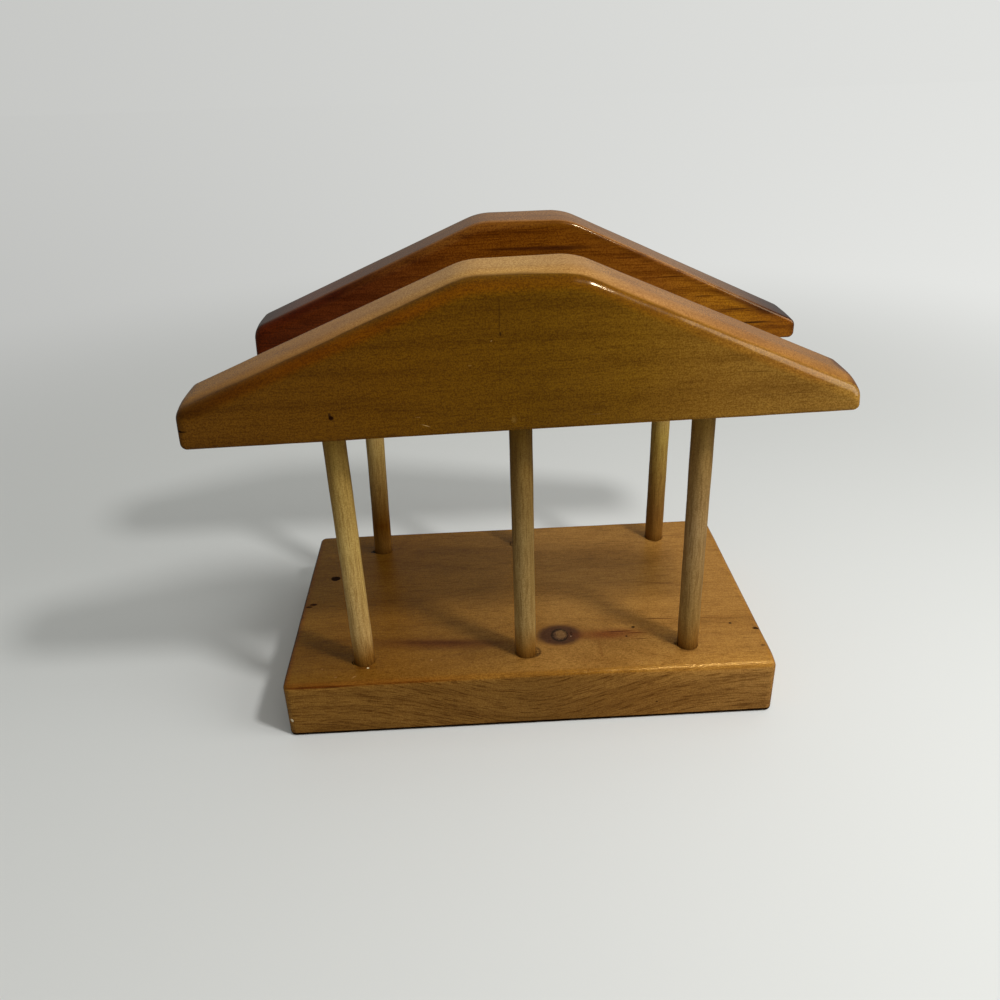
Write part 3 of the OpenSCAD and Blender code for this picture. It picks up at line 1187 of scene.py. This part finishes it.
@dataclass(frozen=True)
class Studio:
    """The camera, the pale floor and the soft light round the object.

    Attributes:
        eye: The camera's place, in millimetres.
        pitch: How far it looks down, in radians.
        yaw: How far it looks to the right.
        roll: How far it is rolled.
        focal_share: Focal length as a share of the picture's width.
        room_level: Brightness that the room alone gives a white card.
        room_slope: How much brighter the room shines for each unit of direction to the right.
        seen_level: Brightness of the pale room behind, as the camera sees it.
        seen_slope: How much brighter it looks for each unit of direction to the right.
        mirrored_level: Brightness of the room as gloss mirrors it.
        mirrored_slope: How much brighter that is for each unit to the right and to the back.
        mirrored_least: The least that it falls to.
        floor_colour: The floor's colour.
        mirrored_floor: Its darker colour as gloss mirrors it.
        fade_start: Distance in metres where the floor starts to fade into the room.
        fade_end: Distance where it has faded.
    """

    eye: Triple = (-13.27, -251.02, 186.80)
    pitch: float = 0.48442
    yaw: float = 0.02730
    roll: float = -0.03467
    focal_share: float = 0.88147
    sensor: float = 36.0
    lamps: tuple[Lamp, ...] = (
        Lamp("near_lamp", (0.225, -0.210, 0.445), 0.066, 0.42),
        Lamp("side_lamp", (0.701, -0.216, 0.463), 0.5, 0.3),
    )
    room_level: float = 0.41
    room_slope: float = 0.28
    seen_level: float = 0.665
    seen_slope: float = 0.20
    mirrored_level: float = 0.11
    mirrored_slope: tuple[float, float] = (0.05, 0.06)
    mirrored_least: float = 0.05
    floor_colour: str = "#e0e1de"
    mirrored_floor: str = "#5c5c5b"
    room_colour: str = "#fdfefb"
    floor_size: float = 6.0
    fade_start: float = 0.19
    fade_end: float = 0.6

    def camera(self) -> None:
        """Stands the camera where the photograph was taken from."""
        data = bpy.data.cameras.new("camera")
        data.lens = self.focal_share * self.sensor
        data.sensor_width = self.sensor
        data.clip_start = 0.01
        data.clip_end = 100.0
        turns = ((-self.yaw, "Z"), (math.pi / 2 - self.pitch, "X"), (self.roll, "Z"))
        place = Matrix.Translation(Vector(self.eye) * MM)
        for angle, axis in turns:
            place = place @ Matrix.Rotation(angle, 4, axis)
        camera = put_in_scene("camera", data)
        camera.matrix_world = place
        bpy.context.scene.camera = camera

    def pale(self, graph: Graph, way: object) -> Term:
        """Brightness of the pale surroundings in a direction, for the camera and for gloss.

        Args:
            graph: The nodes of the floor's material or of the world.
            way: The direction, of length 1.

        Returns:
            seen_level + slope * right for camera rays, mirrored_level + slopes for glossy rays, and the
            room's own level for every other ray.
        """
        path = graph.node("ShaderNodeLightPath")
        seen = Term(graph, path.outputs["Is Camera Ray"])
        mirrored = Term(graph, path.outputs["Is Glossy Ray"])
        right, back, _ = graph.split(way)
        shining = right * self.room_slope + self.room_level
        shown = right * self.seen_slope + self.seen_level - shining
        across, deep = self.mirrored_slope
        gloss = (right * across + back * deep + self.mirrored_level).most(self.mirrored_least) - shining
        return seen * shown + mirrored * gloss + shining

    def room(self) -> None:
        """Fills the world with pale light, dimmer for lighting than for what is seen of it."""
        world = bpy.data.worlds.new("room")
        bpy.context.scene.world = world
        graph = Graph(world)
        way = graph.node("ShaderNodeTexCoord").outputs["Generated"]
        level = {"Color": linear(self.room_colour), "Strength": self.pale(graph, way)}
        graph.finish(graph.node("ShaderNodeBackground", None, level).outputs[0])

    def floor(self) -> None:
        """Lays the pale floor, which fades into the room's colour far from the object."""
        made = bpy.data.materials.new("pale_floor")
        graph = Graph(made)
        coordinates = graph.node("ShaderNodeTexCoord").outputs["Object"]
        length = Term(graph, graph.vector("LENGTH", coordinates).outputs[1])
        way = graph.vector("NORMALIZE", coordinates).outputs[0]
        path = graph.node("ShaderNodeLightPath")
        mirrored = Term(graph, path.outputs["Is Glossy Ray"])
        direct = mirrored.most(path.outputs["Is Camera Ray"])
        far = length.ramp(self.fade_start, self.fade_end) * direct
        colour = graph.mix(linear(self.floor_colour), linear(self.mirrored_floor), mirrored)
        near = graph.node("ShaderNodeBsdfDiffuse", None, {"Color": colour})
        level = {"Color": linear(self.room_colour), "Strength": self.pale(graph, way)}
        glow = graph.node("ShaderNodeEmission", None, level)
        both = graph.node("ShaderNodeMixShader", None, {0: far, 1: near.outputs[0], 2: glow.outputs[0]})
        graph.finish(both.outputs[0])
        half = self.floor_size / 2
        mesh = bpy.data.meshes.new("floor")
        corners = [(-half, -half, 0), (half, -half, 0), (half, half, 0), (-half, half, 0)]
        mesh.from_pydata(corners, [], [(0, 1, 2, 3)])
        mesh.materials.append(made)
        floor = put_in_scene("floor", mesh)

    def build(self) -> None:
        """Sets up the camera, the room, the lamps and the floor."""
        self.camera()
        self.room()
        for lamp in self.lamps:
            lamp.build()
        self.floor()
        bpy.context.scene.view_settings.view_transform = "Standard"


def base_finish() -> WoodFinish:
    """Knotty pine under amber varnish."""
    return WoodFinish(
        name="amber_pine",
        tones=(
            (-74.0, "#865e21"),
            (-45.0, "#8a5d1d"),
            (-15.0, "#976c2f"),
            (10.0, "#ac7e3d"),
            (74.0, "#ba8740"),
        ),
        side_tones=((-74.0, "#90672d"), (0.0, "#89622c"), (40.0, "#a67839"), (74.0, "#a97c40")),
        # Rim colours: partly pooled varnish, partly a painted golden glow where the rounded top edge catches
        # the light, strongest to the right.
        rim_tones=((-74.0, "#7c4a18"), (-40.0, "#96601e"), (0.0, "#a06c20"), (74.0, "#b07a2a")),
        rim_reach=2.6,
        rim_low=14.0,
        line="#a08460",
        ring_width=4.2,
        ring_share=0.3,
        ring_power=3.0,
        heart=(10.0, -40.0),
        fibre_share=0.6,
        fibre_size=(0.16, 2.5),
        stroke_size=(0.2, 2.6),
        stroke_share=0.55,
        face_share=0.55,
        grit_share=0.45,
        roughness=0.16,
        tint="#ffcf7c",
        bump=0.09,
        grit_relief=0.8,
        swirls=(
            Swirl((10.3, -25.5, 19.0), (16.0, 9.0, 30.0), 10.0),
            Swirl((0.0, -46.0, 10.0), (34.0, 20.0, 90.0), 14.0),
        ),
        marks=(
            Mark((10.4, -25.6, 19.0), (10.6, 7.6, 3.0), "#6e3a1c", 0.65, 0.8),
            Mark((10.1, -25.5, 19.0), (8.3, 6.2, 3.0), "#452a1e", 0.9, 0.35),
            Mark((10.2, -25.6, 19.0), (3.3, 4.0, 3.0), "#5e4430", 0.8, 0.4, ragged=0.6),
            Mark((10.2, -25.6, 19.0), (3.2, 3.9, 3.0), "#140804", 1.0, 0.3, ragged=0.35, hollow=0.8),
            Mark((10.7, -25.2, 19.0), (2.1, 2.8, 3.0), "#84623a", 0.85, 0.5, ragged=1.0),
            # Painted glint beside the knot.
            Mark((13.7, -26.4, 19.0), (0.3, 0.4, 3.0), "#b09a80", 0.7, 0.5),
            Mark((13.9, -25.2, 19.0), (0.6, 1.6, 3.0), "#26140c", 0.8, 0.6),
            Mark((26.0, -26.3, 19.0), (17.0, 4.2, 2.0), "#7c3a14", 0.75, 0.95),
            on_top(29.0, -25.2, 6.5, 0.4, "#541e06", 0.8, 0.6),
            on_top(34.5, -26.3, 4.0, 0.35, "#541e06", 0.75, 0.6),
            on_top(35.0, -29.5, 3.5, 0.4, "#632c0e", 0.6, 0.6),
            on_top(33.9, -23.3, 0.7, 0.5, "#170a06", 0.95, 0.4, sunk=0.6),
            on_top(31.0, -27.9, 0.5, 0.45, "#2a120a", 0.9, 0.4),
            Mark((-27.0, -26.9, 19.0), (32.0, 4.4, 2.0), "#5c2c10", 0.75, 0.95, (0.0, 0.0, -0.085)),
            Mark((-26.0, -26.3, 19.0), (26.0, 1.8, 2.0), "#4c240c", 0.5, 0.95, (0.0, 0.0, -0.085)),
            on_top(48.3, 1.0, 8.0, 0.35, "#6a3210", 0.8, 0.8, turned=-0.09),
            on_top(43.0, -19.4, 8.5, 0.35, "#5c280c", 0.85, 0.8, turned=-0.05),
            on_top(60.0, -20.3, 8.5, 0.3, "#7a4216", 0.6, 0.8, turned=-0.05),
            Mark((-65.0, 14.0, 19.0), (1.8, 1.6, 2.0), "#1c0802", 1.0, 0.25, ragged=0.8, sunk=0.1),
            Mark((-70.6, -1.7, 19.0), (1.5, 0.8, 2.0), "#3a1004", 0.9, 0.4, sunk=0.05),
            Mark((-71.8, -3.0, 19.0), (1.3, 0.6, 2.0), "#451404", 0.85, 0.4, sunk=0.05),
            Mark((-74.2, 0.0, 18.2), (1.0, 70.0, 1.7), "#4a2008", 0.8, 0.8, sunk=0.01),
            Mark((74.2, 0.0, 18.2), (0.9, 70.0, 1.5), "#50260a", 0.8, 0.8, sunk=0.01),
            Mark((-73.2, -9.0, 18.0), (0.7, 1.8, 1.5), "#4a1a08", 0.8, 0.5),
            Mark((-73.4, -17.0, 18.0), (0.6, 1.0, 1.5), "#4a1a08", 0.7, 0.5),
            Mark((-73.2, 6.0, 18.0), (0.6, 1.3, 1.5), "#4a1a08", 0.7, 0.5),
            on_top(64.9, -23.8, 0.6, 0.5, "#2c1408", 0.9, 0.4),
            Mark((72.2, -27.1, 18.8), (1.4, 0.9, 1.0), "#3c1c0a", 0.85, 0.5, sunk=0.05),
            Mark((71.8, -35.9, 18.8), (1.0, 0.5, 1.0), "#4c260e", 0.7, 0.5),
            on_top(-52.9, 31.1, 1.6, 1.1, "#2a1006", 0.85, 0.5),
            on_top(22.0, -33.5, 0.8, 7.0, "#835220", 0.5, 0.8),
            Mark((0.2, -33.4, 19.0), (3.9, 3.4, 0.6), "#3e200a", 0.8, 0.2, ragged=0.1, hollow=0.85),
            Mark((-50.0, -36.6, 19.0), (3.6, 1.6, 0.6), "#5a2c0c", 0.5, 0.8),
            Mark((48.4, -36.0, 19.0), (4.4, 1.8, 0.6), "#4e240a", 0.55, 0.8),
            # Painted glint in front of the front left dowel's foot.
            on_top(-49.1, -37.1, 0.45, 0.4, "#f6e6b4", 1.0, 0.4),
            on_top(-58.5, -40.5, 0.6, 0.35, "#b08450", 0.5, 0.6),
            on_top(-63.0, -36.5, 0.6, 0.3, "#b08450", 0.5, 0.6),
            on_top(-53.0, -40.8, 1.2, 0.3, "#b08450", 0.5, 0.6, turned=0.7),
            on_top(-30.0, -34.8, 0.5, 0.4, "#b88c54", 0.6, 0.5),
            # Painted glint on the front face near the left end.
            Mark((-72.7, -44.0, 5.9), (0.6, 1.5, 0.7), "#fbeecb", 1.0, 0.35),
            Mark((-63.0, -43.4, 17.8), (17.0, 1.5, 0.4), "#5a2404", 0.8, 0.7),
            Mark((-36.0, -43.2, 17.9), (22.0, 1.4, 0.4), "#64300c", 0.6, 0.8),
            Mark((38.0, -44.0, 6.0), (0.5, 1.0, 0.3), "#2c1408", 0.8, 0.4),
            # Painted shade: a dark band round the lowest 1.2 mm of the base, where the eased lower edge
            # turns away into shadow; being sunk, it also takes the gloss away.
            Mark((0.0, 0.0, 0.62), (900.0, 900.0, 0.58), "#200e04", 0.95, 0.4, ragged=0.1, sunk=0.02),
        ),
    )


def dowel_finish(name: str, tones: Stops) -> WoodFinish:
    """Bare pale birch, stained amber where it enters the base."""
    return WoodFinish(
        name=f"{name}_birch",
        tones=tones,
        patch="#cfcbab",
        line="#b8a684",
        along=Along.HEIGHT,
        ring_width=2.6,
        ring_share=0.45,
        ring_power=1.5,
        heart=(9.0, 6.0),
        wander=1.5,
        fibre_share=0.5,
        fibre_size=(0.06, 1.8),
        patch_share=0.7,
        stroke_size=(0.16, 3.0),
        stroke_share=0.45,
        roughness=0.42,
        ior=1.2,
        bump=0.03,
    )


def front_finish() -> WoodFinish:
    """A close-grained board under olive-brown varnish."""
    return WoodFinish(
        name="olive_board",
        tones=(
            (-88.0, "#6f470f"),
            (-35.0, "#724a06"),
            (5.0, "#734e06"),
            (28.0, "#845d11"),
            (52.0, "#996f27"),
            (88.0, "#ae843c"),
        ),
        side_tones=(
            (-88.0, "#54300e"),
            (-84.0, "#b17b23"),
            (-45.0, "#cb934a"),
            (0.0, "#d7a85e"),
            (30.0, "#bf894b"),
            (60.0, "#ac7534"),
            (86.0, "#b67f35"),
            (88.0, "#7c4c1c"),
        ),
        side_start=(0.967, 0.8),
        side_blend=(0.024, 0.17),
        # Rim colours: partly pooled varnish, partly a painted glow of the light on the rounded upper edge,
        # brightest at the right end.
        rim_tones=(
            (-88.0, "#492904"),
            (-60.0, "#753d00"),
            (-22.0, "#884e02"),
            (5.0, "#7c4e02"),
            (40.0, "#825007"),
            (88.0, "#a8742e"),
        ),
        rim_reach=3.2,
        rim_low=7.0,
        patch="#d6ccb0",
        line="#bfae88",
        ring_width=5.2,
        ring_power=1.6,
        heart=(-60.0, -30.0),
        wander=4.0,
        fibre_size=(0.08, 1.6),
        stroke_size=(0.5, 2.6),
        stroke_share=0.35,
        side_share=0.5,
        grit_share=0.8,
        roughness=0.15,
        marks=(
            on_face(-4.6, 30.0, 0.22, 6.0, "#3a2206", 0.5, 0.6, turned=0.047, ragged=0.9),
            on_face(-5.1, 16.0, 0.2, 9.0, "#3a2206", 0.35, 0.8, turned=0.047, ragged=0.9),
            on_face(-4.5, 26.2, 0.26, 0.75, "#201004", 0.75, 0.5),
            on_face(-48.2, 6.8, 0.8, 0.72, "#3c1a08", 0.95, 0.5, ragged=0.9, sunk=0.3),
            on_face(-48.5, 7.6, 0.45, 0.8, "#2c1406", 0.85, 0.5),
            Mark((-86.4, -6.0, 5.4), (3.2, 5.0, 0.45), "#200a02", 1.0, 0.4, ragged=0.15, sunk=0.8),
            on_face(-24.6, 3.2, 1.5, 0.14, "#d6ae6c", 0.75, 0.6, turned=0.35),
            on_face(-26.2, 5.6, 1.0, 0.12, "#c89c5a", 0.5, 0.6, turned=0.1),
            on_face(-2.0, 3.4, 1.0, 1.4, "#a07c38", 0.4, 0.9),
            on_face(-6.8, 24.6, 0.35, 0.13, "#c8a468", 0.6, 0.5, turned=-0.6),
            on_face(-12.4, 18.6, 0.6, 0.1, "#b08c50", 0.45, 0.5),
            on_face(19.0, 3.6, 2.2, 0.12, "#b08c50", 0.35, 0.6),
            on_face(55.0, 17.2, 5.0, 0.3, "#5a380c", 0.5, 0.9, turned=0.04, ragged=0.9),
            on_face(60.0, 12.6, 5.0, 0.3, "#5a380c", 0.5, 0.9, turned=0.03, ragged=0.9),
            on_face(72.0, 6.2, 8.0, 0.25, "#5a380c", 0.45, 0.9, ragged=0.9),
            on_face(36.0, 20.0, 6.0, 0.3, "#5a380c", 0.4, 0.9, turned=0.03, ragged=0.9),
            on_face(76.0, 9.5, 6.0, 0.3, "#6a4010", 0.4, 0.9, turned=0.2, ragged=0.9),
        ),
    )


def back_finish() -> WoodFinish:
    """A redder board under dark varnish."""
    return WoodFinish(
        name="red_board",
        tones=(
            (-87.0, "#591f02"),
            (-50.0, "#663214"),
            (-15.0, "#834b0f"),
            (8.0, "#824c0d"),
            (40.0, "#925818"),
            (70.0, "#ba7e17"),
            (87.0, "#9f6110"),
        ),
        side_tones=(
            (-87.0, "#3c2418"),
            (-70.0, "#824825"),
            (-40.0, "#8c5c2b"),
            (0.0, "#b68248"),
            (50.0, "#b48555"),
            (83.0, "#54301c"),
            (87.0, "#3a1a10"),
        ),
        side_start=(0.84, 0.6),
        side_blend=(0.14, 0.35),
        rim_tones=(
            (-87.0, "#62250a"),
            (-60.0, "#3d0501"),
            (-20.0, "#905b1c"),
            (10.0, "#85520f"),
            (50.0, "#6f3d0f"),
            (87.0, "#4a2414"),
        ),
        rim_reach=3.0,
        patch="#d2c0a4",
        line="#a88c68",
        ring_width=4.4,
        ring_share=0.55,
        heart=(40.0, -40.0),
        wander=5.0,
        fibre_share=0.55,
        fibre_size=(0.06, 2.0),
        stroke_size=(0.14, 2.4),
        stroke_share=0.4,
        side_share=0.5,
        grit_share=0.7,
        roughness=0.16,
        marks=(
            on_face(4.0, 32.0, 24.0, 0.8, "#36120a", 0.75, 0.8),
            on_face(12.0, 31.4, 13.0, 0.5, "#34140a", 0.6, 0.8),
            on_face(31.0, 28.0, 8.0, 0.35, "#4a2008", 0.6, 0.8),
            on_face(45.0, 21.5, 9.0, 0.4, "#4a2008", 0.65, 0.8),
            on_face(56.0, 15.0, 5.0, 0.35, "#4a2008", 0.65, 0.8),
            on_face(67.0, 10.4, 8.0, 0.45, "#3c1806", 0.75, 0.8),
            on_face(73.0, 5.8, 8.0, 0.5, "#341404", 0.8, 0.8),
            on_face(60.0, 7.5, 9.0, 0.3, "#4a2008", 0.5, 0.8),
            Mark((87.6, -9.0, 4.0), (3.4, 6.0, 6.5), "#3a1408", 0.8, 0.9),
        ),
    )


def dowels() -> tuple[Dowel, ...]:
    """The six dowels, with where each stands, how it leans, its rim's chip and its colours."""
    stain = ((-1.0, "#6e4410"), (3.0, "#94692e"))
    places = (
        ("front_left_dowel", (-50.4, -33.2), -0.6, (200.0, 0.3), ("#c7a569", "#c0a260", "#8e7131")),
        ("front_middle_dowel", (-1.0, -33.2), -0.1, (-20.0, 0.2), ("#ab8d57", "#937848", "#71541d")),
        ("front_right_dowel", (49.0, -33.2), -0.5, (180.0, 0.3), ("#a17e46", "#a58658", "#896a30")),
        ("back_left_dowel", (-49.5, 32.5), 1.4, (200.0, 0.3), ("#774a0c", "#b19558", "#b39264")),
        ("back_middle_dowel", (2.0, 32.5), 0.2, (190.0, 0.9), ("#845412", "#9a7438", "#b08a4e")),
        ("back_right_dowel", (51.5, 32.5), 0.3, (-90.0, 0.2), ("#8e6731", "#ac9147", "#927365")),
    )
    made = []
    for name, foot, lean, chip, (low, middle, high) in places:
        tones = (*stain, (11.0, low), (42.0, middle), (72.0, high))
        made.append(Dowel(name, foot, lean, dowel_finish(name, tones), chip))
    return tuple(made)


def gable(
    width: float, height: float, ends: tuple[float, float], flats: tuple[float, float]
) -> tuple[tuple[float, float], ...]:
    """Corners of a gabled board, anticlockwise from the lower left one.

    Args:
        width: Its width.
        height: Its height at the flat top.
        ends: Height of the left and of the right end, where the slopes begin.
        flats: How far the flat top reaches to the left and to the right of the middle.

    Returns:
        The six corners.
    """
    side = width / 2
    foot = ((-side, 0.0), (side, 0.0), (side, ends[1]))
    return (*foot, (flats[1], height), (-flats[0], height), (-side, ends[0]))


def gable_radii(right_foot: float, left_foot: float) -> tuple[float, ...]:
    """Radii of a gabled board's corners, from those at the feet of its slopes."""
    lower, top = 1.8, 20.0
    return (lower, lower, right_foot, top, top, left_foot)


def boards() -> tuple[HoldingBoard, HoldingBoard]:
    """The front board and the back board."""
    front = Slab(
        corners=gable(175.16, 40.295, (10.6, 7.0), (12.3, 15.5)),
        radii=gable_radii(2.4, 2.3),
        low_radii=gable_radii(3.4, 3.6),
        high_radii=gable_radii(6.0, 5.0),
        thickness=BOARD_THICKNESS,
        low_round=(1.2,) * 6,
        high_round=(1.3, 1.2, 2.8, 3.0, 3.6, 3.2),
        waves=((4, 0.08, 0.3), (9, 0.06, 0.8), (23, 0.04, 0.1), (51, 0.02, 0.6)),
        worn=(0.0, 0.0, 2.2, 1.7, 1.7, 1.4),
    )
    back = Slab(
        corners=gable(173.6, 40.2, (9.9, 5.8), (14.0, 12.9)),
        radii=gable_radii(2.5, 2.7),
        low_radii=gable_radii(3.4, 4.0),
        high_radii=gable_radii(2.8, 6.2),
        thickness=BOARD_THICKNESS,
        low_round=(1.5, 1.5, 2.2, 2.2, 2.2, 2.2),
        high_round=(1.3, 1.2, 1.2, 1.2, 3.0, 3.4),
        waves=((5, 0.08, 0.6), (11, 0.06, 0.2), (19, 0.04, 0.5), (47, 0.02, 0.9)),
        worn=(0.0, 0.0, 0.4, 0.2, 0.0, 0.0),
    )
    return (
        HoldingBoard("front_board", front_finish(), front, middle=-1.2, row=-33.2, lean=1.5, tilt=-0.9),
        HoldingBoard("back_board", back_finish(), back, middle=4.7, row=32.5, lean=0.0, tilt=0.0),
    )


def main() -> None:
    """Builds the napkin holder and its studio."""
    logging.basicConfig(level=logging.INFO, format="%(name)s: %(message)s")
    Studio().build()
    rods = dowels()
    Base(base_finish(), rods).build()
    for rod in rods:
        rod.build()
    for board in boards():
        board.build()


if __name__ == "__main__":
    main()
